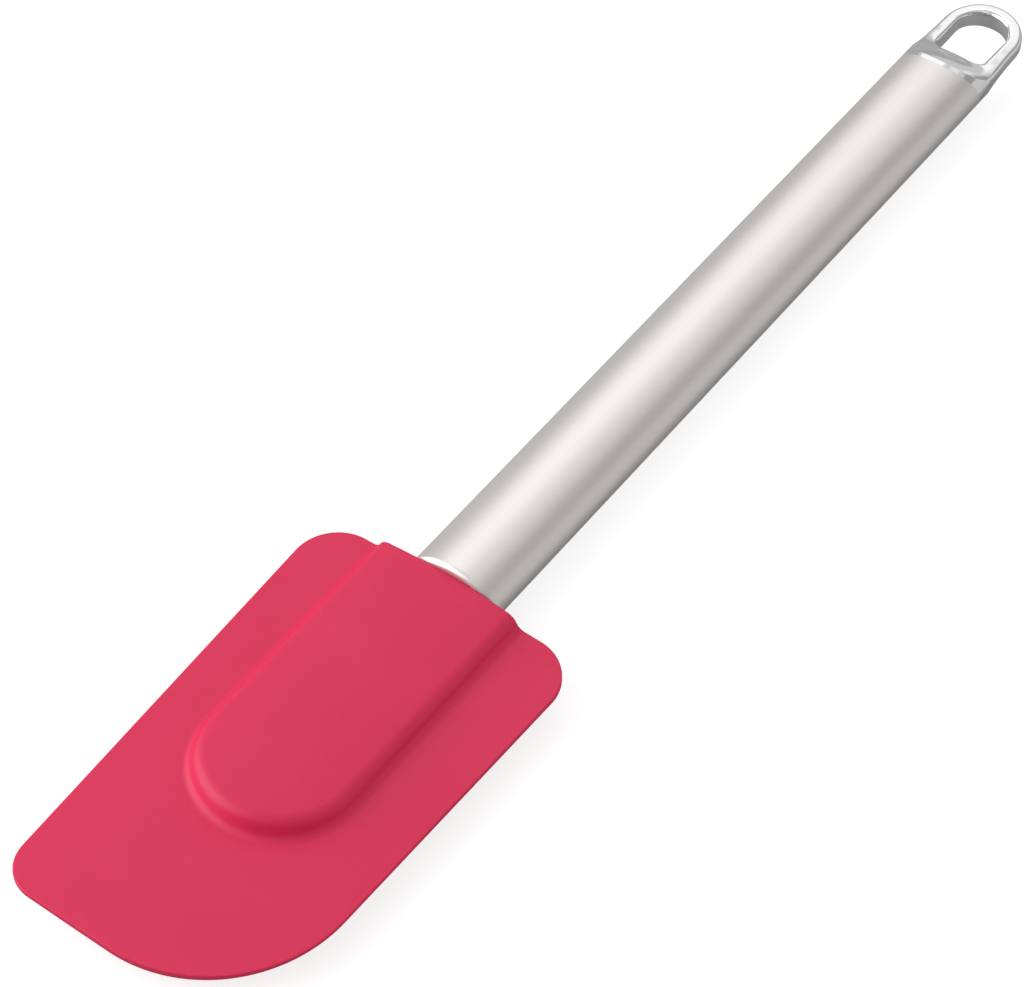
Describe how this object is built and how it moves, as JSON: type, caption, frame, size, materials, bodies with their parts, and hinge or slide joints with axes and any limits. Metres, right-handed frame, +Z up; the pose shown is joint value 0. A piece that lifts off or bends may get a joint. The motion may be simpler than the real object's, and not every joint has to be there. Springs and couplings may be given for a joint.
{
  "type": "silicone spatula",
  "caption": "Kitchen spatula: soft silicone blade with one rounded front corner and a raised hub, on an oval brushed steel handle with a polished hanging loop.",
  "frame": {"origin": "middle of the bounding box in plan, at its lowest point, which is the underside of the handle", "axes": "+X along the handle towards the hanging loop, +Y across the blade, away from its large rounded corner, +Z up out of the blade's face"},
  "size_m": [0.2838, 0.0575, 0.0124],
  "materials": {
    "silicone": "smooth matt raspberry red silicone",
    "core_nylon": "glass-filled nylon, as moulded",
    "tang_steel": "plain stainless bar",
    "brushed_steel": "fine satin brush, slightly warm",
    "polished_steel": "mirror polished stainless"
  },
  "bodies": {
    "root": {"silicone_head": "silicone", "head_core": "core_nylon", "tang": "tang_steel", "front_plug": "brushed_steel", "handle_tube": "brushed_steel", "hanging_loop": "polished_steel"}
  },
  "joints": []
}
